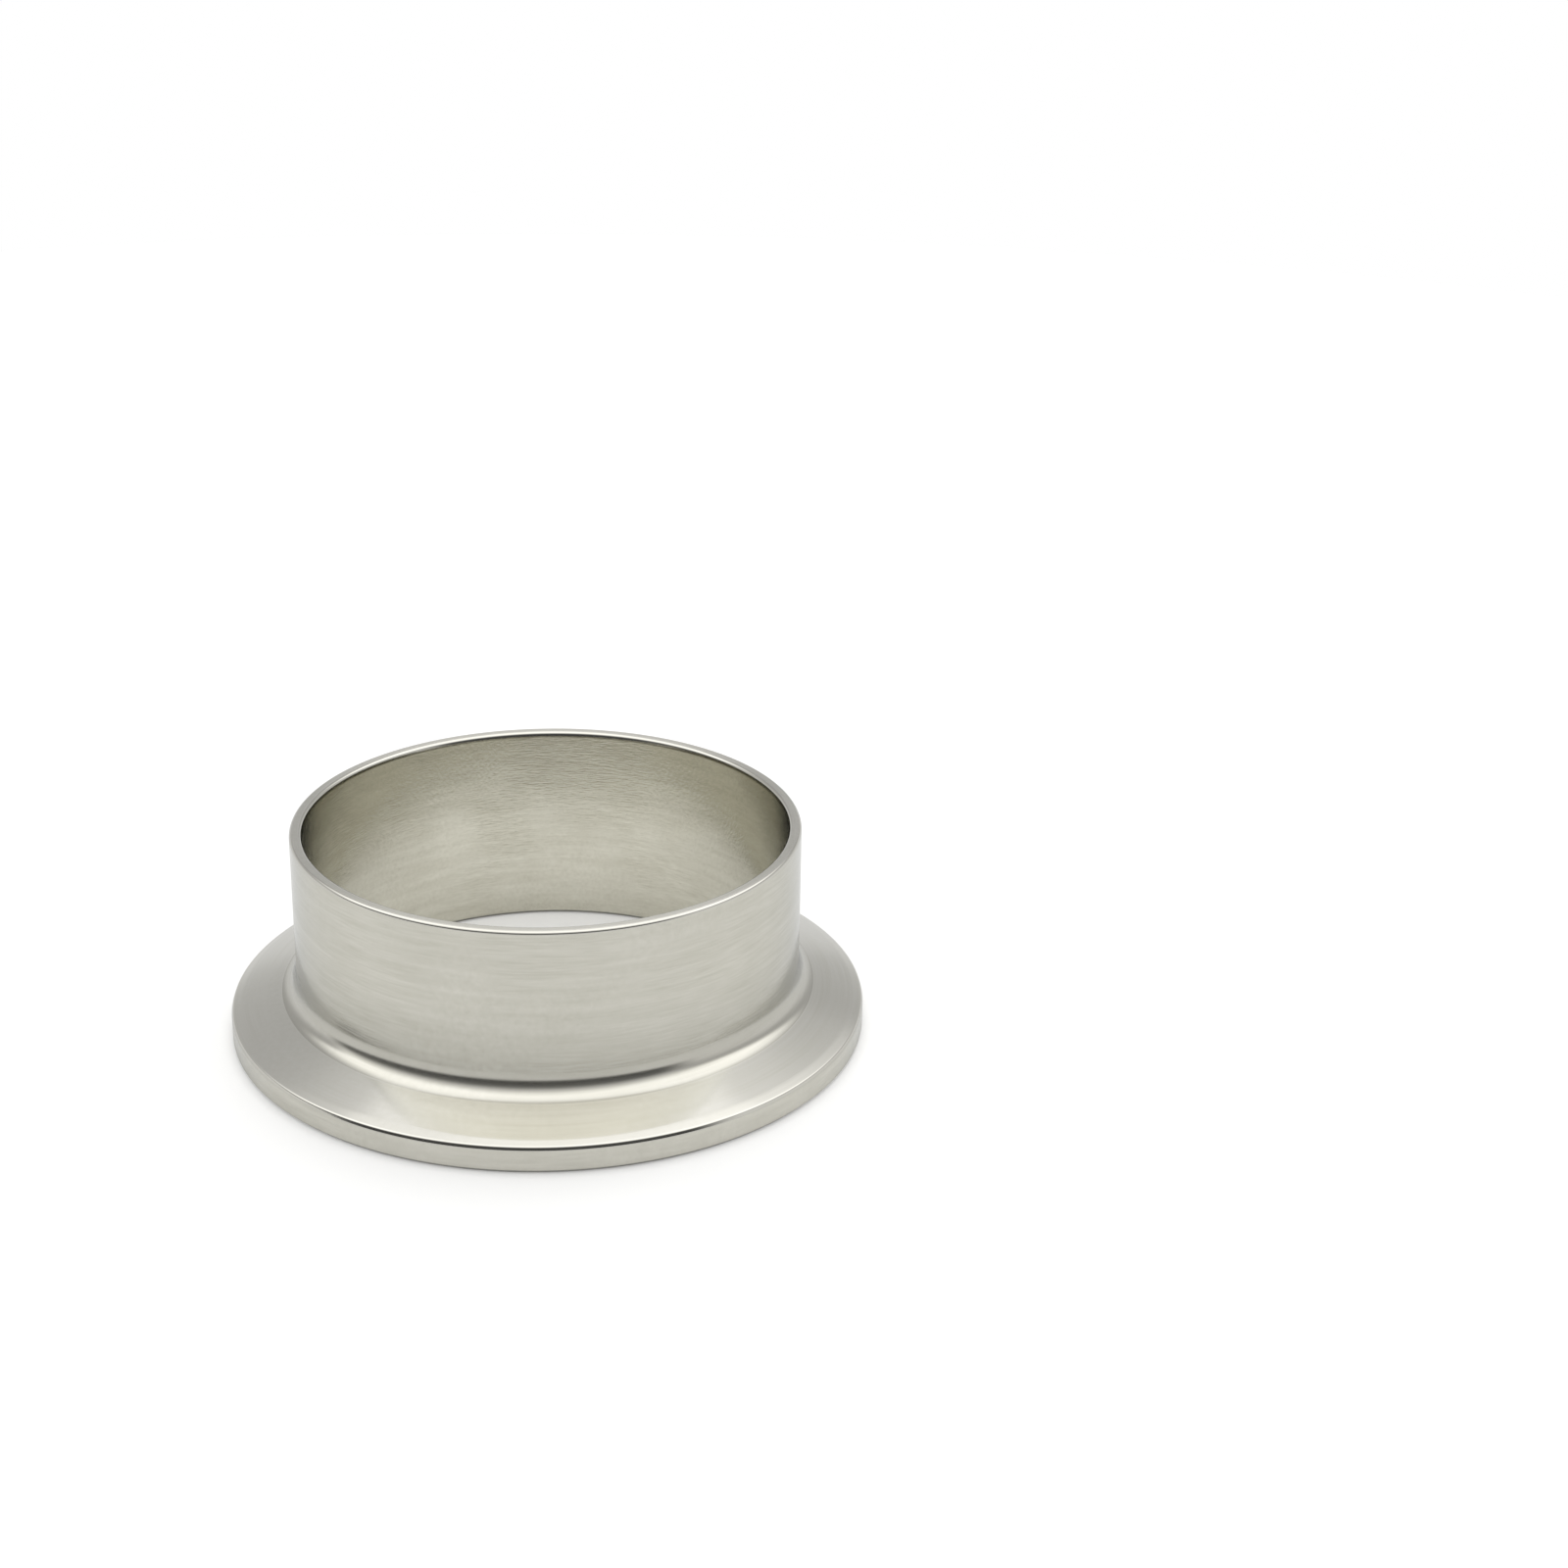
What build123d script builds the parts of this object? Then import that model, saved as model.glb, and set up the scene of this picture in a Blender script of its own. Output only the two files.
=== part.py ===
from build123d import *
from math import radians, tan
import os

# Short weld ferrule for a sanitary clamp joint, turned in one piece from stainless steel.
# Sizes are in millimetres. The origin is the centre of the gasket face, where the ferrule
# stands, and +Z runs up the bore to the end that is welded to a tube.

# Tube end: one bore all the way through
tube_diameter = 50.8
tube_wall = 1.3
overall_length = 21.5

# Clamp flange: a low cylindrical edge, then the shoulder that the clamp's jaws ride up
shoulder_width = 6.6
shoulder_angle = 20.0
shoulder_root_radius = 2.25
flange_edge_height = 2.6

# Gasket groove in the face: a vee with a round floor, a land's width in from the flange's edge
outer_land_width = 1.95
groove_width = 3.6
groove_flank_angle = 50.0
groove_floor_radius = 1.2

# Sharp edges that are broken all round
groove_lip_break = 0.2
flange_face_edge_break = 0.25
flange_back_edge_break = 0.2
bore_face_edge_break = 0.3
weld_end_outer_edge_break = 0.2
weld_end_inner_edge_break = 0.15

# Radii from the axis
tube_radius = tube_diameter / 2
bore_radius = tube_radius - tube_wall
flange_radius = tube_radius + shoulder_width
groove_outer_radius = flange_radius - outer_land_width
groove_inner_radius = groove_outer_radius - groove_width
groove_center_radius = (groove_outer_radius + groove_inner_radius) / 2

# Heights above the gasket face
shoulder_top = flange_edge_height + shoulder_width * tan(radians(shoulder_angle))
vee_height = groove_width / 2 * tan(radians(groove_flank_angle))

# Corners of the half section, each a radius and a height
bore_at_face = (bore_radius, 0)
flange_at_face = (flange_radius, 0)
flange_at_back = (flange_radius, flange_edge_height)
shoulder_root = (tube_radius, shoulder_top)
tube_at_weld_end = (tube_radius, overall_length)
bore_at_weld_end = (bore_radius, overall_length)
groove_inner_lip = (groove_inner_radius, 0)
groove_floor = (groove_center_radius, vee_height)
groove_outer_lip = (groove_outer_radius, 0)


def nearest_corner(section: Sketch, point: tuple[float, float]) -> Vertex:
    """The section's corner that lies nearest to a point."""
    return section.vertices().sort_by_distance((*point, 0))[0]


def turned_section() -> Sketch:
    """Half section of the ferrule, drawn to the right of its axis."""
    blank = Polyline(
        bore_at_face,
        flange_at_face,
        flange_at_back,
        shoulder_root,
        tube_at_weld_end,
        bore_at_weld_end,
        close=True,
    )
    groove = Polyline(groove_inner_lip, groove_floor, groove_outer_lip, close=True)
    section = make_face(blank) - make_face(groove)

    # The shoulder runs into the tube, and the groove's flanks into its floor, in round blends
    for corner, radius in (
        (shoulder_root, shoulder_root_radius),
        (groove_floor, groove_floor_radius),
    ):
        section = fillet(nearest_corner(section, corner), radius)

    for corner, size in (
        (groove_inner_lip, groove_lip_break),
        (groove_outer_lip, groove_lip_break),
        (bore_at_face, bore_face_edge_break),
        (flange_at_face, flange_face_edge_break),
        (flange_at_back, flange_back_edge_break),
        (tube_at_weld_end, weld_end_outer_edge_break),
        (bore_at_weld_end, weld_end_inner_edge_break),
    ):
        section = chamfer(nearest_corner(section, corner), size)
    return section


ferrule = revolve(Plane.XZ * turned_section(), axis=Axis.Z)
ferrule.label = "ferrule"

os.makedirs("parts", exist_ok=True)
export_step(ferrule, "parts/ferrule.step")
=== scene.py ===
"""Turned stainless steel clamp ferrule, standing on its gasket face in a light tent."""

import logging
from dataclasses import dataclass, field
from enum import Enum
from math import cos, hypot, pi, radians, sin, tan
from typing import Any, ClassVar

import bpy
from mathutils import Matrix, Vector


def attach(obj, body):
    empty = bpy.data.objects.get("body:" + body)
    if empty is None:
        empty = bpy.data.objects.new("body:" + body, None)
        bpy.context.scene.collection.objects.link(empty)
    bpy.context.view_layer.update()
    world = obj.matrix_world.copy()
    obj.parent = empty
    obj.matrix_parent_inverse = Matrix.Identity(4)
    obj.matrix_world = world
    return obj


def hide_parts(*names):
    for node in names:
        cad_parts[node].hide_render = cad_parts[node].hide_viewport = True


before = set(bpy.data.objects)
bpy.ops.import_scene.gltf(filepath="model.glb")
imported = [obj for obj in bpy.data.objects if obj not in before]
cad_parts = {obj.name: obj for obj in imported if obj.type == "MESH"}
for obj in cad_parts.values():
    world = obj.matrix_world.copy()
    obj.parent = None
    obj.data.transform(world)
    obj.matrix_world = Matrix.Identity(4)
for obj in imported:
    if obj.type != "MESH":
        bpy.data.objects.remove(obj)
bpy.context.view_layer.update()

log = logging.getLogger("ferrule")

MM = 0.001
WHITE = "#FFFFFF"

# Steel, unlike the usual formula, stays a little below white where it is seen at a slant
SLANT_TINT = "#EDEEF0"

# A quarter turn, which lays the blur of the finish across the tool marks
QUARTER_TURN = 0.25

# Vertices closer than this are one
MERGE_DISTANCE = 0.001 * MM

STRAIGHT_UP = 90.0


def linear(code: str) -> tuple[float, float, float, float]:
    """Turns an sRGB hex colour into the linear colour that nodes take.

    Args:
        code: the colour as six hex digits, with or without a leading #.

    Returns:
        Linear red, green, blue and an alpha of 1.
    """
    digits = code.lstrip("#")
    channels = [int(digits[i : i + 2], 16) / 255 for i in (0, 2, 4)]
    red, green, blue = (c / 12.92 if c <= 0.04045 else ((c + 0.055) / 1.055) ** 2.4 for c in channels)
    return red, green, blue, 1.0


def add_node(
    tree: bpy.types.NodeTree,
    kind: str,
    settings: dict[str, Any] | None = None,
    inputs: dict[str | int, Any] | None = None,
) -> bpy.types.Node:
    """Adds one node, with its settings made and its inputs set or linked.

    Args:
        tree: the node tree of a material or of the world.
        kind: the node's type.
        settings: properties of the node itself, by name.
        inputs: for each input, by name or number, a value or the output socket that feeds it.

    Returns:
        The new node.
    """
    node = tree.nodes.new(kind)
    for name, value in (settings or {}).items():
        setattr(node, name, value)
    for key, value in (inputs or {}).items():
        if isinstance(value, bpy.types.NodeSocket):
            tree.links.new(value, node.inputs[key])
        else:
            node.inputs[key].default_value = value
    return node


def new_material(name: str) -> bpy.types.Material:
    """Makes an empty node material of that name."""
    material = bpy.data.materials.new(name)
    material.use_nodes = True
    material.node_tree.nodes.clear()
    return material


def from_axis(tree: bpy.types.NodeTree, place: bpy.types.NodeSocket) -> bpy.types.NodeSocket:
    """Gives a point's distance from the Z axis.

    Args:
        tree: the material's node tree.
        place: the point's place.

    Returns:
        The distance.
    """
    flat = add_node(tree, "ShaderNodeVectorMath", {"operation": "MULTIPLY"}, {0: place, 1: (1, 1, 0)})
    reach = add_node(tree, "ShaderNodeVectorMath", {"operation": "LENGTH"}, {0: flat.outputs[0]})
    return reach.outputs["Value"]


class Along(Enum):
    """The direction across the tool marks, as shares of height and of radius."""

    HEIGHT = (1.0, 0.0)
    RADIUS = (0.0, 1.0)
    SHOULDER = (0.34, -0.94)


@dataclass(frozen=True)
class SteelFinish:
    """One way that the stainless steel is finished. Lengths are in millimetres.

    Tool marks run round the axis. The lay is their fine scratches, the bands are wider and
    longer rings, the clouds are patches of slightly other gloss, and the pebbles are the
    small bumps that rolled tube keeps under its polish. Lay and pebbles take turns, from
    one patch of the surface to the next.

    Real scratches lie 0.02 to 0.05 mm apart, too fine for the picture, so each lay is drawn
    coarser, 0.18 to 0.3 mm apart, and the blur of the finer ones is left to the roughness and
    its direction. The relief of each is a few micrometres, drawn deeper to match.

    From the height where the painted shade starts to where it ends, the colour falls to a share
    of itself: painted shade for the shadowed table that the steel mirrors there.
    """

    lay_wear: ClassVar[float] = 1.7
    band_wear: ClassVar[float] = 1.1
    cloud_wear: ClassVar[float] = 0.7
    pebble_wear: ClassVar[float] = 1.0
    patch_edge: ClassVar[tuple[float, float]] = (0.4, 0.6)
    ring_grain: ClassVar[float] = 0.6
    patch_grain: ClassVar[float] = 0.55

    name: str
    bright: str
    dull: str
    roughness: float
    roughness_swing: float
    anisotropy: float
    across: Along
    lay_length: float
    lay_spacing: float
    lay_depth: float
    band_length: float
    band_spacing: float
    band_depth: float
    cloud_size: float
    pebble_size: float
    pebble_depth: float
    patch_size: float
    painted_shade_start: float = 0.0
    painted_shade_end: float = 1.0
    painted_shade_share: float = 1.0

    def material(self) -> bpy.types.Material:
        """Builds the finish as a node material.

        Returns:
            The new material.
        """
        material = new_material(self.name)
        tree = material.node_tree
        place = add_node(tree, "ShaderNodeTexCoord").outputs["Object"]
        marks = self.along_marks(tree, place)
        patch = add_node(
            tree,
            "ShaderNodeMapRange",
            {"interpolation_type": "SMOOTHSTEP"},
            {
                "Value": self.patches(tree, place, self.patch_size, detail=1.0),
                "From Min": self.patch_edge[0],
                "From Max": self.patch_edge[1],
            },
        ).outputs["Result"]
        rest = add_node(tree, "ShaderNodeMath", {"operation": "SUBTRACT"}, {0: 1.0, 1: patch}).outputs[0]
        scratches = self.rings(tree, marks, self.lay_length, self.lay_spacing, detail=3.0)
        lay = self.swing(tree, scratches, patch)
        wide = self.rings(tree, marks, self.band_length, self.band_spacing, detail=2.0)
        bands = self.swing(tree, wide, 1.0)
        clouds = self.swing(tree, self.patches(tree, place, self.cloud_size, detail=3.0), 1.0)
        pebbles = self.swing(tree, self.patches(tree, place, self.pebble_size, detail=2.0), rest)

        wear = self.total(
            tree,
            (
                (lay, self.lay_wear),
                (bands, self.band_wear),
                (clouds, self.cloud_wear),
                (pebbles, self.pebble_wear),
            ),
            start=0.5,
        )
        colour = add_node(
            tree,
            "ShaderNodeMix",
            {"data_type": "RGBA"},
            {"Factor": wear, 6: linear(self.bright), 7: linear(self.dull)},
        )
        # Painted shade: between two heights the colour falls to a share of itself.
        painted_shade = add_node(
            tree,
            "ShaderNodeMapRange",
            {"interpolation_type": "SMOOTHSTEP"},
            {
                "Value": add_node(tree, "ShaderNodeSeparateXYZ", inputs={0: place}).outputs["Z"],
                "From Min": self.painted_shade_start * MM,
                "From Max": self.painted_shade_end * MM,
                "To Min": 1.0,
                "To Max": self.painted_shade_share,
            },
        )
        shade_painted_colour = add_node(
            tree,
            "ShaderNodeVectorMath",
            {"operation": "SCALE"},
            {0: colour.outputs[2], "Scale": painted_shade.outputs["Result"]},
        )
        roughness = add_node(
            tree,
            "ShaderNodeMapRange",
            inputs={
                "Value": wear,
                "To Min": self.roughness - self.roughness_swing,
                "To Max": self.roughness + self.roughness_swing,
            },
        )
        relief = self.total(
            tree,
            ((lay, self.lay_depth), (bands, self.band_depth), (pebbles, self.pebble_depth)),
            start=0.0,
        )
        bump = add_node(
            tree, "ShaderNodeBump", inputs={"Strength": 1.0, "Distance": MM, "Height": relief}
        )
        tangent = add_node(tree, "ShaderNodeTangent", {"direction_type": "RADIAL", "axis": "Z"})
        shader = add_node(
            tree,
            "ShaderNodeBsdfPrincipled",
            inputs={
                "Base Color": shade_painted_colour.outputs[0],
                "Metallic": 1.0,
                "Specular Tint": linear(SLANT_TINT),
                "Roughness": roughness.outputs["Result"],
                "Anisotropic": self.anisotropy,
                "Anisotropic Rotation": QUARTER_TURN,
                "Tangent": tangent.outputs[0],
                "Normal": bump.outputs[0],
            },
        )
        add_node(tree, "ShaderNodeOutputMaterial", inputs={"Surface": shader.outputs[0]})
        return material

    def along_marks(
        self, tree: bpy.types.NodeTree, place: bpy.types.NodeSocket
    ) -> bpy.types.NodeSocket:
        """Gives coordinates whose Z counts across the tool marks.

        Args:
            tree: the material's node tree.
            place: the point's place.

        Returns:
            X and Y of the point, and its place across the marks.
        """
        axes = add_node(tree, "ShaderNodeSeparateXYZ", inputs={0: place}).outputs
        rise, reach = self.across.value
        across = self.total(tree, ((axes["Z"], rise), (from_axis(tree, place), reach)), start=0.0)
        marks = add_node(
            tree, "ShaderNodeCombineXYZ", inputs={"X": axes["X"], "Y": axes["Y"], "Z": across}
        )
        return marks.outputs[0]

    @staticmethod
    def swing(
        tree: bpy.types.NodeTree, noise: bpy.types.NodeSocket, strength: bpy.types.NodeSocket | float
    ) -> bpy.types.NodeSocket:
        """How far a noise is from its middle, times a strength.

        Args:
            tree: the material's node tree.
            noise: the noise's value, from 0 to 1.
            strength: the strength, as a value or a socket.

        Returns:
            The swing, which is 0 at the noise's middle.
        """
        middle = add_node(tree, "ShaderNodeMath", {"operation": "SUBTRACT"}, {0: noise, 1: 0.5}).outputs[0]
        scaled = add_node(tree, "ShaderNodeMath", {"operation": "MULTIPLY"}, {0: middle, 1: strength})
        return scaled.outputs[0]

    @staticmethod
    def total(
        tree: bpy.types.NodeTree, parts: tuple[tuple[bpy.types.NodeSocket, float], ...], start: float
    ) -> bpy.types.NodeSocket:
        """Adds up values, each times its weight.

        Args:
            tree: the material's node tree.
            parts: the values and their weights.
            start: what the sum starts from.

        Returns:
            The sum.
        """
        value: bpy.types.NodeSocket | float = start
        for part, weight in parts:
            node = add_node(
                tree, "ShaderNodeMath", {"operation": "MULTIPLY_ADD"}, {0: part, 1: weight, 2: value}
            )
            value = node.outputs[0]
        return value

    def rings(
        self,
        tree: bpy.types.NodeTree,
        marks: bpy.types.NodeSocket,
        length: float,
        spacing: float,
        detail: float,
    ) -> bpy.types.NodeSocket:
        """Noise drawn out round the axis, for scratches and rings.

        Args:
            tree: the material's node tree.
            marks: X and Y of the point and its place across the marks.
            length: how long a mark is, in millimetres.
            spacing: how far apart marks are, in millimetres.
            detail: how many finer layers the noise has.

        Returns:
            The noise's value.
        """
        stretch = (1 / (length * MM), 1 / (length * MM), 1 / (spacing * MM))
        mapped = add_node(tree, "ShaderNodeVectorMath", {"operation": "MULTIPLY"}, {0: marks, 1: stretch})
        noise = add_node(
            tree,
            "ShaderNodeTexNoise",
            inputs={
                "Vector": mapped.outputs[0],
                "Scale": 1.0,
                "Detail": detail,
                "Roughness": self.ring_grain,
            },
        )
        return noise.outputs[0]

    def patches(
        self, tree: bpy.types.NodeTree, place: bpy.types.NodeSocket, size: float, detail: float
    ) -> bpy.types.NodeSocket:
        """Noise of one size in every direction, for clouds and pebbles.

        Args:
            tree: the material's node tree.
            place: the point's place.
            size: how large a patch is, in millimetres.
            detail: how many finer layers the noise has.

        Returns:
            The noise's value.
        """
        noise = add_node(
            tree,
            "ShaderNodeTexNoise",
            inputs={
                "Vector": place,
                "Scale": 1 / (size * MM),
                "Detail": detail,
                "Roughness": self.patch_grain,
            },
        )
        return noise.outputs[0]


# Stainless steel, most likely of type 304, polished outside with a fine belt as it turned: an
# even satin with faint level scratches, which blurs what it mirrors upwards and hardly
# sideways. Towards the foot of the tube its colour is darker: painted shade for the shadowed table that it
# mirrors there.
BELT_POLISHED_TUBE = SteelFinish(
    name="belt_polished_stainless_steel",
    bright="#D4D2C9",
    dull="#C3C1B6",
    roughness=0.16,
    roughness_swing=0.02,
    anisotropy=0.6,
    across=Along.HEIGHT,
    lay_length=3.5,
    lay_spacing=0.2,
    lay_depth=0.008,
    band_length=22.0,
    band_spacing=1.0,
    band_depth=0.008,
    cloud_size=8.0,
    pebble_size=0.6,
    pebble_depth=0.001,
    patch_size=14.0,
    # Painted shade: darker from 15 mm down to 6 mm.
    painted_shade_start=15.0,
    painted_shade_end=6.0,
    painted_shade_share=0.86,
)

# The blend at the shoulder's root, left as a form tool cut it where the belt and the buff
# don't reach: softer than the shoulder. Its colour is darker than the shoulder's, a painted shade that
# dims the highlight on the root's round.
FORMED_ROOT = SteelFinish(
    name="form_turned_stainless_steel",
    bright="#C2C0B8",
    dull="#B7B5AB",
    roughness=0.16,
    roughness_swing=0.02,
    anisotropy=0.55,
    across=Along.SHOULDER,
    lay_length=14.0,
    lay_spacing=0.25,
    lay_depth=0.0008,
    band_length=30.0,
    band_spacing=0.9,
    band_depth=0.001,
    cloud_size=7.0,
    pebble_size=0.7,
    pebble_depth=0.0005,
    patch_size=12.0,
)

# The same steel turned with a sharp tool and buffed: nearly a mirror, which shows the tent's
# bright and dark parts with soft edges, and the tool's last rings only just.
BUFFED_SHOULDER = SteelFinish(
    name="buffed_turned_stainless_steel",
    bright="#D7D5CE",
    dull="#D0CEC5",
    roughness=0.1,
    roughness_swing=0.015,
    anisotropy=0.35,
    across=Along.SHOULDER,
    lay_length=20.0,
    lay_spacing=0.3,
    lay_depth=0.0003,
    band_length=40.0,
    band_spacing=1.2,
    band_depth=0.0005,
    cloud_size=9.0,
    pebble_size=0.6,
    pebble_depth=0.0003,
    patch_size=16.0,
)

# The flange's edge, turned and left as it came off the tool: a plain satin grey that sets the
# glossy shoulder off.
TURNED_EDGE = SteelFinish(
    name="satin_turned_stainless_steel",
    bright="#DDDBD2",
    dull="#CDCBC1",
    roughness=0.22,
    roughness_swing=0.03,
    anisotropy=0.4,
    across=Along.HEIGHT,
    lay_length=5.0,
    lay_spacing=0.3,
    lay_depth=0.003,
    band_length=12.0,
    band_spacing=0.8,
    band_depth=0.003,
    cloud_size=3.5,
    pebble_size=0.6,
    pebble_depth=0.003,
    patch_size=8.0,
)

# Flat rings faced on the lathe: the tool's closely set rings pull each highlight into a
# wedge that points at the axis.
FACED_RING = SteelFinish(
    name="faced_stainless_steel",
    bright="#DBD9D2",
    dull="#CCCAC1",
    roughness=0.36,
    roughness_swing=0.04,
    anisotropy=0.93,
    across=Along.RADIUS,
    lay_length=7.0,
    lay_spacing=0.2,
    lay_depth=0.001,
    band_length=20.0,
    band_spacing=0.6,
    band_depth=0.001,
    cloud_size=6.0,
    pebble_size=0.5,
    pebble_depth=0.0005,
    patch_size=10.0,
)

# The bore: rolled strip, annealed and brushed by hand from the face, so that short scratches
# and a soft orange peel show by turns. Towards the far end its colour is darker: painted shade for the
# shadowed table that it mirrors there.
BRUSHED_BORE = SteelFinish(
    name="brushed_rolled_stainless_steel",
    bright="#EBE9DD",
    dull="#D4D1C3",
    roughness=0.18,
    roughness_swing=0.04,
    anisotropy=0.55,
    across=Along.HEIGHT,
    lay_length=1.2,
    lay_spacing=0.18,
    lay_depth=0.029,
    band_length=9.0,
    band_spacing=0.7,
    band_depth=0.005,
    cloud_size=6.0,
    pebble_size=0.36,
    pebble_depth=0.019,
    patch_size=11.0,
    # Painted shade: darker from 10 mm up to the far end.
    painted_shade_start=10.0,
    painted_shade_end=21.5,
    painted_shade_share=0.8,
)

# The gasket groove, cut with a form tool and burnished by it: nearly as glossy as the shoulder,
# for the bead of the gasket to seal on.
BURNISHED_GROOVE = SteelFinish(
    name="burnished_stainless_steel",
    bright="#D3D1CA",
    dull="#CAC8BF",
    roughness=0.12,
    roughness_swing=0.02,
    anisotropy=0.3,
    across=Along.RADIUS,
    lay_length=18.0,
    lay_spacing=0.25,
    lay_depth=0.0006,
    band_length=30.0,
    band_spacing=0.7,
    band_depth=0.001,
    cloud_size=8.0,
    pebble_size=0.6,
    pebble_depth=0.0003,
    patch_size=12.0,
)

# Sharp edges taken off with a fine stone: glossy and without marks, for a thin light line or a
# thin dark one along each edge.
STONED_BREAK = SteelFinish(
    name="stoned_stainless_steel",
    bright="#CBC9C1",
    dull="#C5C3BB",
    roughness=0.1,
    roughness_swing=0.01,
    anisotropy=0.2,
    across=Along.HEIGHT,
    lay_length=9.0,
    lay_spacing=0.3,
    lay_depth=0.0003,
    band_length=20.0,
    band_spacing=0.8,
    band_depth=0.0003,
    cloud_size=6.0,
    pebble_size=0.6,
    pebble_depth=0.0003,
    patch_size=12.0,
)


class Zone(Enum):
    """The ferrule's surfaces, each with its finish, in the order of the mesh's material slots."""

    TUBE = BELT_POLISHED_TUBE
    ROOT = FORMED_ROOT
    SHOULDER = BUFFED_SHOULDER
    EDGE = TURNED_EDGE
    RING = FACED_RING
    BORE = BRUSHED_BORE
    GROOVE = BURNISHED_GROOVE
    BREAK = STONED_BREAK


@dataclass(frozen=True)
class Corner:
    """A corner of the half section, in millimetres.

    Attributes:
        radius: distance from the axis.
        height: height above the gasket face.
        rounding: radius of the round that takes the corner's place.
        flats: how many straight pieces the round is drawn with.
    """

    radius: float
    height: float
    rounding: float
    flats: int

    @property
    def place(self) -> Vector:
        """The corner in the plane y = 0, in metres."""
        return Vector((self.radius, 0.0, self.height)) * MM


@dataclass(frozen=True)
class Round:
    """The arc that takes a corner's place, in metres."""

    start: Vector
    end: Vector
    centre: Vector
    angle: float
    flats: int

    @classmethod
    def at(cls, before: Corner, corner: Corner, after: Corner) -> "Round":
        """Fits the round into a corner, tangent to both of its sides.

        Args:
            before: the corner that comes first.
            corner: the corner to round.
            after: the corner that comes next.

        Returns:
            The round, with the sign of its angle for a turn about +Y.
        """
        back = (before.place - corner.place).normalized()
        ahead = (after.place - corner.place).normalized()
        half = back.angle(ahead) / 2
        size = corner.rounding * MM
        start = corner.place + back * (size / tan(half))
        end = corner.place + ahead * (size / tan(half))
        centre = corner.place + (back + ahead).normalized() * (size / sin(half))
        turn = (start - centre).cross(end - centre).y
        angle = pi - 2 * half
        return cls(start, end, centre, angle if turn > 0 else -angle, corner.flats)


class SectionPen:
    """Draws a half section as a wire in the plane y = 0, in edit mode."""

    support = 0.12 * MM

    def __init__(self, start: Vector) -> None:
        """Puts down the first vertex, as a plane merged to its middle.

        Args:
            start: where the wire starts, in metres.
        """
        bpy.ops.object.select_all(action="DESELECT")
        bpy.ops.mesh.primitive_plane_add(size=MM, location=start)
        bpy.ops.object.mode_set(mode="EDIT")
        bpy.ops.mesh.select_all(action="SELECT")
        bpy.ops.mesh.merge(type="CENTER")
        self.point = start.copy()

    def straight_to(self, end: Vector) -> None:
        """Draws a straight run, with a vertex close to each end that keeps its shading flat.

        Args:
            end: where the run ends, in metres.
        """
        start = self.point.copy()
        run = end - start
        share = min(self.support, run.length / 4) / run.length
        for part in (share, 1 - share, 1):
            target = start + run * part
            bpy.ops.mesh.extrude_region_move(TRANSFORM_OT_translate={"value": target - self.point})
            self.point = target

    def round_off(self, arc: Round) -> None:
        """Draws a round from where the pen is. The spin operator counts its angle the other way.

        Args:
            arc: the round, which starts at the pen.
        """
        bpy.ops.mesh.spin(steps=arc.flats, angle=-arc.angle, center=arc.centre, axis=(0, 1, 0))
        self.point = arc.end.copy()


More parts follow.
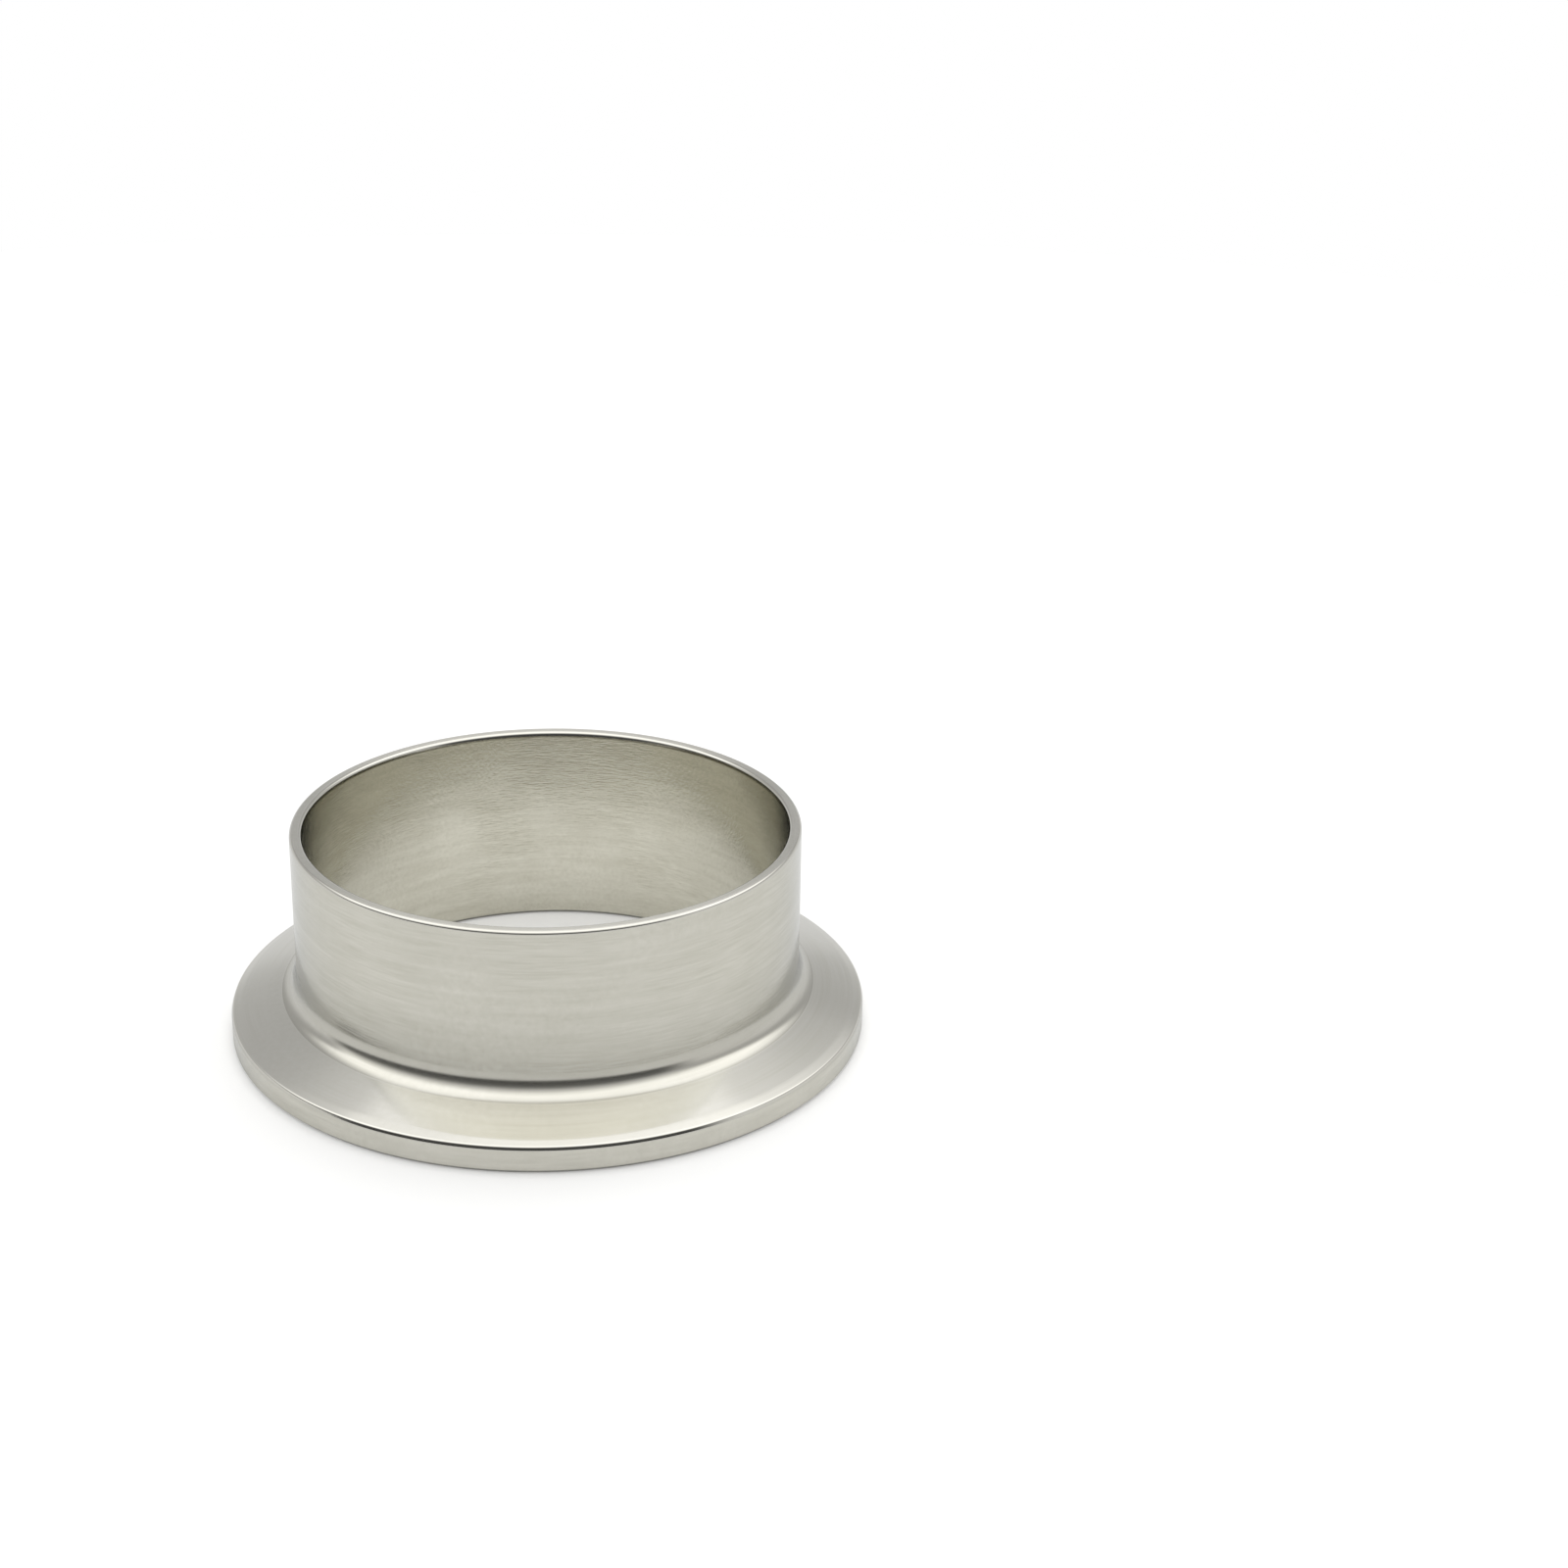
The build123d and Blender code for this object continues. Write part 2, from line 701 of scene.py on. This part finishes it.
@dataclass
class Ferrule:
    """The turned ferrule. Sizes are in millimetres, and its axis is the frame's Z axis.

    The shoulder runs into the tube in two rounds, the root and its run-out, with a short
    straight between them. Its outer part is crowned, and a lead eases it into the flange's
    edge. The bore opens into a small bell at its mouth and narrows a little to the face.
    """

    break_flats: ClassVar[int] = 4
    lead_flats: ClassVar[int] = 5
    edge_flats: ClassVar[int] = 8
    run_out_flats: ClassVar[int] = 10
    end_flats: ClassVar[int] = 11
    root_flats: ClassVar[int] = 20

    # Where one finish ends and the next begins, in millimetres or as the face's upward share
    root_share: ClassVar[float] = 0.68
    land_share: ClassVar[float] = 0.5
    groove_margin: ClassVar[float] = 0.3
    edge_depth: ClassVar[float] = 0.1
    flat_height: ClassVar[float] = 0.01
    upright: ClassVar[float] = 0.03
    sloped: ClassVar[float] = 0.85

    tube_diameter: float = 50.8
    tube_wall: float = 1.3
    overall_length: float = 21.5
    shoulder_width: float = 6.6
    shoulder_angle: float = 20.0
    shoulder_root_radius: float = 2.25
    flange_edge_height: float = 2.6
    outer_land_width: float = 1.95
    groove_width: float = 3.6
    groove_flank_angle: float = 50.0
    groove_floor_radius: float = 1.2
    groove_lip_round: float = 0.4
    face_break_round: float = 0.06
    flange_face_edge_break: float = 0.36
    bore_face_edge_break: float = 0.36
    bore_narrowing: float = 0.2
    root_run_out: float = 6.9
    root_run_out_angle: float = 22.0
    root_run_out_round: float = 3.1
    root_round: float = 2.2
    root_straight: float = 0.08
    crown_width: float = 1.0
    crown_round: float = 8.0
    crown_rise: float = 0.16
    flange_back_edge_round: float = 0.25
    lead_height: float = 0.36
    lead_angle: float = 19.0
    lead_blend: float = 0.35
    weld_end_outer_edge_round: float = 0.38
    weld_end_inner_edge_round: float = 0.4
    mouth_height: float = 0.58
    mouth_angle: float = 12.5
    mouth_round: float = 1.0
    steps_round: int = 360
    piece: bpy.types.Object | None = field(default=None, init=False)

    @property
    def tube_radius(self) -> float:
        """Outer radius of the tube end."""
        return self.tube_diameter / 2

    @property
    def bore_radius(self) -> float:
        """Radius of the bore below its mouth."""
        return self.tube_radius - self.tube_wall

    @property
    def flange_radius(self) -> float:
        """Radius of the flange's edge."""
        return self.tube_radius + self.shoulder_width

    def corners(self) -> list[Corner]:
        """The half section's corners, in order round it.

        Returns:
            The corners, from the bore's lower end outwards and up.
        """
        rim, tube, top = self.flange_radius, self.tube_radius, self.overall_length
        lead = self.lead_height * tan(radians(self.lead_angle))
        lead_foot = self.flange_edge_height - self.lead_height / 2
        mouth = self.mouth_height * tan(radians(self.mouth_angle))
        throat = self.bore_radius - self.bore_narrowing
        lip_out = rim - self.outer_land_width
        lip_in = lip_out - self.groove_width
        depth = self.groove_width / 2 * tan(radians(self.groove_flank_angle))
        crown = self.crown_width * tan(radians(self.shoulder_angle)) + self.crown_rise

        # From the tube down the run-out, which leans by its own angle, to the root's round
        lean = radians(self.root_run_out_angle)
        rest = radians(90 - self.shoulder_angle) - lean
        first = self.root_run_out_round * tan(lean / 2)
        run = first + self.root_round * tan(rest / 2) + self.root_straight
        bend = self.root_run_out - first
        return [
            Corner(throat, self.bore_face_edge_break, self.face_break_round, self.break_flats),
            Corner(throat + self.bore_face_edge_break, 0.0, self.face_break_round, self.break_flats),
            Corner(lip_in, 0.0, self.groove_lip_round, self.edge_flats),
            Corner((lip_in + lip_out) / 2, depth, self.groove_floor_radius, self.root_flats),
            Corner(lip_out, 0.0, self.groove_lip_round, self.edge_flats),
            Corner(rim - self.flange_face_edge_break, 0.0, self.face_break_round, self.break_flats),
            Corner(rim, self.flange_face_edge_break, self.face_break_round, self.break_flats),
            Corner(rim, lead_foot, self.lead_blend, self.lead_flats),
            Corner(rim - lead, lead_foot + self.lead_height, self.flange_back_edge_round, self.edge_flats),
            Corner(
                rim - self.crown_width, self.flange_edge_height + crown, self.crown_round, self.edge_flats
            ),
            Corner(tube + run * sin(lean), bend - run * cos(lean), self.root_round, self.root_flats),
            Corner(tube, bend, self.root_run_out_round, self.run_out_flats),
            Corner(tube, top, self.weld_end_outer_edge_round, self.end_flats),
            Corner(self.bore_radius + mouth, top, self.weld_end_inner_edge_round, self.end_flats),
            Corner(self.bore_radius, top - self.mouth_height, self.mouth_round, self.edge_flats),
        ]

    def build(self) -> None:
        """Draws the half section, turns it round the axis and dresses the surfaces."""
        corners = self.corners()
        rounds = [
            Round.at(corners[i - 1], corner, corners[(i + 1) % len(corners)])
            for i, corner in enumerate(corners)
        ]
        pen = SectionPen(rounds[0].end)
        for arc in rounds[1:] + rounds[:1]:
            pen.straight_to(arc.start)
            pen.round_off(arc)

        bpy.ops.mesh.select_all(action="SELECT")
        bpy.ops.mesh.remove_doubles(threshold=MERGE_DISTANCE)
        bpy.ops.mesh.spin(steps=self.steps_round, angle=2 * pi, center=(0, 0, 0), axis=(0, 0, 1))
        bpy.ops.mesh.select_all(action="SELECT")
        bpy.ops.mesh.remove_doubles(threshold=MERGE_DISTANCE)
        bpy.ops.mesh.normals_make_consistent(inside=False)
        bpy.ops.object.mode_set(mode="OBJECT")
        bpy.ops.object.transform_apply(location=True, rotation=True, scale=True)
        bpy.ops.object.shade_smooth()

        self.piece = bpy.context.object
        self.piece.name = self.piece.data.name = "turned_ferrule"
        self.dress()
        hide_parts("ferrule")
        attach(self.piece, "root")

    def zone_at(self, place: Vector, normal: Vector) -> Zone:
        """Says which finish a face has.

        Args:
            place: the middle of the face, in metres.
            normal: the face's normal.

        Returns:
            The zone that the face belongs to.
        """
        radius, height = hypot(place.x, place.y) / MM, place.z / MM
        root_end = self.tube_radius + self.root_share * self.shoulder_root_radius
        groove_end = self.flange_radius - self.land_share * self.outer_land_width
        groove_start = (
            self.flange_radius - self.outer_land_width - self.groove_width - self.groove_margin
        )
        if height < self.flat_height or height > self.overall_length - self.flat_height:
            return Zone.RING
        if groove_start < radius < groove_end and normal.z < 0:
            return Zone.GROOVE
        if abs(normal.z) < self.upright and radius > self.flange_radius - self.edge_depth:
            return Zone.EDGE
        if abs(normal.z) < self.upright:
            return Zone.BORE if radius < self.tube_radius - self.tube_wall / 2 else Zone.TUBE
        if radius > root_end and normal.z > self.sloped:
            return Zone.SHOULDER
        if self.tube_radius < radius < root_end and height < self.root_run_out:
            return Zone.ROOT if normal.z > 0 else Zone.BREAK
        return Zone.BREAK

    def dress(self) -> None:
        """Gives each face the finish of its zone."""
        mesh = self.piece.data
        mesh.materials.clear()
        zones = list(Zone)
        for zone in zones:
            mesh.materials.append(zone.value.material())
        for face in mesh.polygons:
            face.material_index = zones.index(self.zone_at(face.center, face.normal))


@dataclass
class Table:
    """The pale table top, in metres.

    Under the flange it is open, so that the gasket face can be seen from below.
    """

    vertices: ClassVar[int] = 128

    radius: float = 0.4
    front: float = 0.095
    drop: float = 0.02 * MM
    opening: tuple[float, float] = (25.0 * MM, 31.3 * MM)
    top: str = "#DEDEDD"
    lift_seen: float = 0.22
    lift_mirrored: float = 0.045

    def build(self) -> None:
        """Makes the table top and its material."""
        bpy.ops.object.select_all(action="DESELECT")
        bpy.ops.mesh.primitive_circle_add(
            vertices=self.vertices,
            radius=self.opening[0],
            fill_type="NGON",
            location=(0, 0, -self.drop),
        )
        inner = bpy.context.object
        bpy.ops.object.select_all(action="DESELECT")
        bpy.ops.mesh.primitive_circle_add(
            vertices=self.vertices,
            radius=self.opening[1],
            fill_type="NOTHING",
            location=(0, 0, -self.drop),
        )
        bpy.ops.object.mode_set(mode="EDIT")
        bpy.ops.mesh.select_all(action="SELECT")
        bpy.ops.mesh.extrude_region_move()
        grow = self.radius / self.opening[1]
        bpy.ops.transform.resize(value=(grow, grow, 1))
        bpy.ops.mesh.select_all(action="SELECT")
        bpy.ops.mesh.bisect(plane_co=(0, -self.front, 0), plane_no=(0, -1, 0), clear_outer=True)
        bpy.ops.mesh.select_all(action="SELECT")
        bpy.ops.mesh.normals_make_consistent(inside=False)
        bpy.ops.object.mode_set(mode="OBJECT")
        top = bpy.context.object
        inner.select_set(True)
        bpy.ops.object.join()
        top.name = top.data.name = "table_top"
        bpy.ops.object.transform_apply(location=True, rotation=True, scale=True)
        for face in top.data.polygons:
            if face.normal.z < 0:
                face.flip()
        top.data.materials.append(self.material())

    def material(self) -> bpy.types.Material:
        """Matt white laminate. A little light of its own keeps it white, and it is clear from below.

        Returns:
            The new material.
        """
        material = new_material("white_laminate")
        tree = material.node_tree
        path = add_node(tree, "ShaderNodeLightPath").outputs
        mirrored = add_node(
            tree,
            "ShaderNodeMath",
            {"operation": "ADD"},
            {0: path["Is Glossy Ray"], 1: path["Is Transmission Ray"]},
        )
        lift = add_node(
            tree,
            "ShaderNodeMath",
            {"operation": "MULTIPLY"},
            {0: mirrored.outputs[0], 1: self.lift_mirrored},
        )
        glow = add_node(
            tree,
            "ShaderNodeMath",
            {"operation": "MULTIPLY_ADD"},
            {0: path["Is Camera Ray"], 1: self.lift_seen, 2: lift.outputs[0]},
        )
        laminate = add_node(
            tree,
            "ShaderNodeBsdfPrincipled",
            inputs={
                "Base Color": linear(self.top),
                "Roughness": 0.9,
                "Specular IOR Level": 0.0,
                "Emission Color": linear(WHITE),
                "Emission Strength": glow.outputs[0],
            },
        )
        clear = add_node(tree, "ShaderNodeBsdfTransparent")
        side = add_node(tree, "ShaderNodeNewGeometry").outputs["Backfacing"]
        both = add_node(
            tree,
            "ShaderNodeMixShader",
            inputs={0: side, 1: laminate.outputs[0], 2: clear.outputs[0]},
        )
        add_node(tree, "ShaderNodeOutputMaterial", inputs={"Surface": both.outputs[0]})
        return material


@dataclass(frozen=True)
class Glow:
    """How bright the tent is at one elevation, in degrees, where 1 is white."""

    elevation: float
    level: float


@dataclass(frozen=True)
class Sector:
    """A stretch of the tent between two soft edges, in degrees from the camera, + to the right."""

    left: tuple[float, float]
    right: tuple[float, float]


@dataclass
class LightTent:
    """Round tent of white cloth: a bright panel in its roof, a dark opening for the camera below.

    Only what the metal mirrors comes from it. Below the table it is one even level.
    """

    brightest: ClassVar[float] = 2.0

    radius: float = 0.9
    opening: Sector = Sector((-103.0, -86.0), (50.0, 72.0))
    panel: Sector = Sector((-137.0, -95.0), (112.0, 165.0))
    panel_foot: tuple[float, float] = (22.0, 32.0)
    panel_reach: tuple[float, float] = (0.7, 0.35)
    underneath: float = 0.8
    cloth: tuple[Glow, ...] = (
        Glow(0, 0.98),
        Glow(8, 0.88),
        Glow(15, 0.68),
        Glow(22, 0.6),
        Glow(38, 0.58),
        Glow(47, 0.74),
        Glow(52, 0.86),
        Glow(56, 1.18),
        Glow(66, 1.26),
        Glow(75, 1.4),
        Glow(90, 1.6),
    )
    front: tuple[Glow, ...] = (
        Glow(0, 0.05),
        Glow(6, 0.07),
        Glow(12, 0.14),
        Glow(20, 0.22),
        Glow(30, 0.62),
        Glow(40, 1.05),
        Glow(50, 1.5),
        Glow(62, 1.88),
        Glow(75, 1.85),
        Glow(90, 1.65),
    )

    def build(self) -> None:
        """Makes the tent and its glow. The camera looks through it to the white room."""
        bpy.ops.object.select_all(action="DESELECT")
        bpy.ops.mesh.primitive_uv_sphere_add(segments=48, ring_count=24, radius=self.radius)
        tent = bpy.context.object
        tent.name = tent.data.name = "light_tent"
        bpy.ops.object.mode_set(mode="EDIT")
        bpy.ops.mesh.select_all(action="SELECT")
        bpy.ops.mesh.flip_normals()
        bpy.ops.object.mode_set(mode="OBJECT")
        bpy.ops.object.shade_smooth()
        tent.visible_camera = False
        tent.visible_diffuse = False
        tent.visible_shadow = False
        tent.data.materials.append(self.material())

    def material(self) -> bpy.types.Material:
        """Tent cloth, as bright as the light behind it makes it at each height.

        Returns:
            The new material.
        """
        material = new_material("tent_cloth")
        material.cycles.emission_sampling = "NONE"
        tree = material.node_tree
        place = add_node(tree, "ShaderNodeTexCoord").outputs["Object"]
        axes = add_node(tree, "ShaderNodeSeparateXYZ", inputs={0: place}).outputs
        sine = add_node(tree, "ShaderNodeMath", {"operation": "DIVIDE"}, {0: axes["Z"], 1: self.radius})
        rise = add_node(tree, "ShaderNodeMath", {"operation": "ARCSINE"}, {0: sine.outputs[0]}).outputs[0]
        share = add_node(tree, "ShaderNodeMath", {"operation": "DIVIDE"}, {0: rise, 1: pi / 2})
        ahead = add_node(tree, "ShaderNodeMath", {"operation": "MULTIPLY"}, {0: axes["Y"], 1: -1.0})
        azimuth = add_node(
            tree, "ShaderNodeMath", {"operation": "ARCTAN2"}, {0: axes["X"], 1: ahead.outputs[0]}
        ).outputs[0]
        where = add_node(
            tree,
            "ShaderNodeMix",
            {"data_type": "FLOAT"},
            {
                0: self.step(tree, rise, self.panel_foot),
                2: self.within(tree, azimuth, self.opening),
                3: self.within(tree, azimuth, self.panel),
            },
        )
        front_share = self.straight_rise(tree, place, axes["Z"], ahead.outputs[0])
        lit = add_node(
            tree,
            "ShaderNodeMix",
            {"data_type": "FLOAT"},
            {
                0: where.outputs[0],
                2: self.ramp(tree, share.outputs[0], self.cloth),
                3: self.ramp(tree, front_share, self.front),
            },
        )
        above = add_node(tree, "ShaderNodeMath", {"operation": "GREATER_THAN"}, {0: axes["Z"], 1: 0.0})
        level = add_node(
            tree,
            "ShaderNodeMix",
            {"data_type": "FLOAT"},
            {0: above.outputs[0], 2: self.underneath, 3: lit.outputs[0]},
        )
        light = add_node(tree, "ShaderNodeEmission", inputs={"Strength": level.outputs[0]})
        add_node(tree, "ShaderNodeOutputMaterial", inputs={"Surface": light.outputs[0]})
        return material

    def straight_rise(
        self,
        tree: bpy.types.NodeTree,
        place: bpy.types.NodeSocket,
        height: bpy.types.NodeSocket,
        ahead: bpy.types.NodeSocket,
    ) -> bpy.types.NodeSocket:
        """How far up a point is on the panel, whose straight foot looks lower to the sides.

        Args:
            tree: the material's node tree.
            place: the point's place.
            height: the point's height above the table.
            ahead: how far the point is on the camera's side.

        Returns:
            The share of the way up, from 0 to 1.
        """
        forward = add_node(tree, "ShaderNodeMath", {"operation": "MAXIMUM"}, {0: ahead, 1: 0.0})
        ahead_share, away_share = self.panel_reach
        near = add_node(
            tree,
            "ShaderNodeMath",
            {"operation": "MULTIPLY"},
            {0: from_axis(tree, place), 1: away_share},
        )
        reach = add_node(
            tree,
            "ShaderNodeMath",
            {"operation": "MULTIPLY_ADD"},
            {0: forward.outputs[0], 1: ahead_share, 2: near.outputs[0]},
        )
        rise = add_node(tree, "ShaderNodeMath", {"operation": "ARCTAN2"}, {0: height, 1: reach.outputs[0]})
        share = add_node(tree, "ShaderNodeMath", {"operation": "DIVIDE"}, {0: rise.outputs[0], 1: pi / 2})
        return share.outputs[0]

    @staticmethod
    def step(
        tree: bpy.types.NodeTree, angle: bpy.types.NodeSocket, edge: tuple[float, float]
    ) -> bpy.types.NodeSocket:
        """A soft step from 0 to 1.

        Args:
            tree: the material's node tree.
            angle: the point's azimuth or elevation, in radians.
            edge: the angles where the step starts and ends, in degrees.

        Returns:
            The step's value.
        """
        node = add_node(
            tree,
            "ShaderNodeMapRange",
            {"interpolation_type": "SMOOTHSTEP"},
            {"Value": angle, "From Min": radians(edge[0]), "From Max": radians(edge[1])},
        )
        return node.outputs["Result"]

    def within(
        self, tree: bpy.types.NodeTree, azimuth: bpy.types.NodeSocket, sector: Sector
    ) -> bpy.types.NodeSocket:
        """Whether a point is within a sector.

        Args:
            tree: the material's node tree.
            azimuth: the point's azimuth, in radians.
            sector: the sector.

        Returns:
            1 within it and 0 outside, with soft edges.
        """
        node = add_node(
            tree,
            "ShaderNodeMath",
            {"operation": "SUBTRACT"},
            {0: self.step(tree, azimuth, sector.left), 1: self.step(tree, azimuth, sector.right)},
        )
        return node.outputs[0]

    def ramp(
        self, tree: bpy.types.NodeTree, share: bpy.types.NodeSocket, glows: tuple[Glow, ...]
    ) -> bpy.types.NodeSocket:
        """The brightness at a share of the way up, from the horizon at 0 to straight above at 1.

        Args:
            tree: the material's node tree.
            share: the share of the way up.
            glows: the brightness at each elevation.

        Returns:
            The brightness.
        """
        curve = add_node(tree, "ShaderNodeFloatCurve", inputs={"Value": share})
        line = curve.mapping.curves[0]
        for point, glow in zip(line.points, (glows[0], glows[-1])):
            point.location = (glow.elevation / STRAIGHT_UP, glow.level / self.brightest)
        for glow in glows[1:-1]:
            line.points.new(glow.elevation / STRAIGHT_UP, glow.level / self.brightest)
        curve.mapping.update()
        level = add_node(
            tree, "ShaderNodeMath", {"operation": "MULTIPLY"}, {0: curve.outputs[0], 1: self.brightest}
        )
        return level.outputs[0]


@dataclass
class Softbox:
    """Square lamp behind the ferrule that casts its shadow. The metal mirrors only the tent.

    Side and distance are in metres, and the angles in degrees, round from the camera.
    """

    side: float = 0.5
    distance: float = 0.75
    elevation: float = 68.0
    azimuth: float = 170.0
    level: float = 2.2

    def build(self) -> None:
        """Hangs the lamp, facing the ferrule."""
        height, azimuth = radians(self.elevation), radians(self.azimuth)
        towards = Vector((sin(azimuth) * cos(height), -cos(azimuth) * cos(height), sin(height)))
        bpy.ops.object.light_add(type="AREA", location=towards * self.distance)
        lamp = bpy.context.object
        lamp.name = lamp.data.name = "softbox"
        lamp.data.shape = "SQUARE"
        lamp.data.size = self.side
        lamp.data.energy = self.level * pi * self.side**2
        lamp.rotation_euler = (-towards).to_track_quat("-Z", "Y").to_euler()
        lamp.visible_camera = False
        lamp.visible_glossy = False


@dataclass
class Room:
    """The white room beyond the tent: the backdrop, and an even light on everything."""

    level: float = 1.0

    def build(self) -> None:
        """Lights the world."""
        world = bpy.data.worlds.new("white_room")
        bpy.context.scene.world = world
        world.use_nodes = True
        tree = world.node_tree
        tree.nodes.clear()
        light = add_node(
            tree, "ShaderNodeBackground", inputs={"Color": linear(WHITE), "Strength": self.level}
        )
        add_node(tree, "ShaderNodeOutputWorld", inputs={"Surface": light.outputs[0]})


@dataclass
class ProductCamera:
    """The camera that took the picture, fitted to the ferrule's outlines.

    Lens, sensor and place are in millimetres, and the turn is in degrees.
    """

    lens: float = 62.28
    sensor: float = 36.0
    place: tuple[float, float, float] = (23.54, -247.93, 129.53)
    turn: tuple[float, float, float] = (67.326, -1.015, 0.424)

    def build(self) -> None:
        """Makes the camera the scene's own."""
        bpy.ops.object.camera_add(
            location=Vector(self.place) * MM, rotation=[radians(angle) for angle in self.turn]
        )
        camera = bpy.context.object
        camera.name = camera.data.name = "product_camera"
        camera.data.lens = self.lens
        camera.data.sensor_width = self.sensor
        camera.data.clip_start = 0.01
        bpy.context.scene.camera = camera


def main() -> None:
    """Builds the stage and the ferrule, and logs the ferrule's vertex and face counts."""
    logging.basicConfig(level=logging.INFO, format="%(name)s: %(message)s")
    bpy.context.scene.view_settings.view_transform = "Standard"
    for part in (ProductCamera(), Room(), LightTent(), Softbox(), Table()):
        part.build()
        log.info("%s is in place", type(part).__name__)

    ferrule = Ferrule()
    ferrule.build()
    mesh = ferrule.piece.data
    log.info("%s: %d vertices, %d faces", mesh.name, len(mesh.vertices), len(mesh.polygons))


if __name__ == "__main__":
    main()
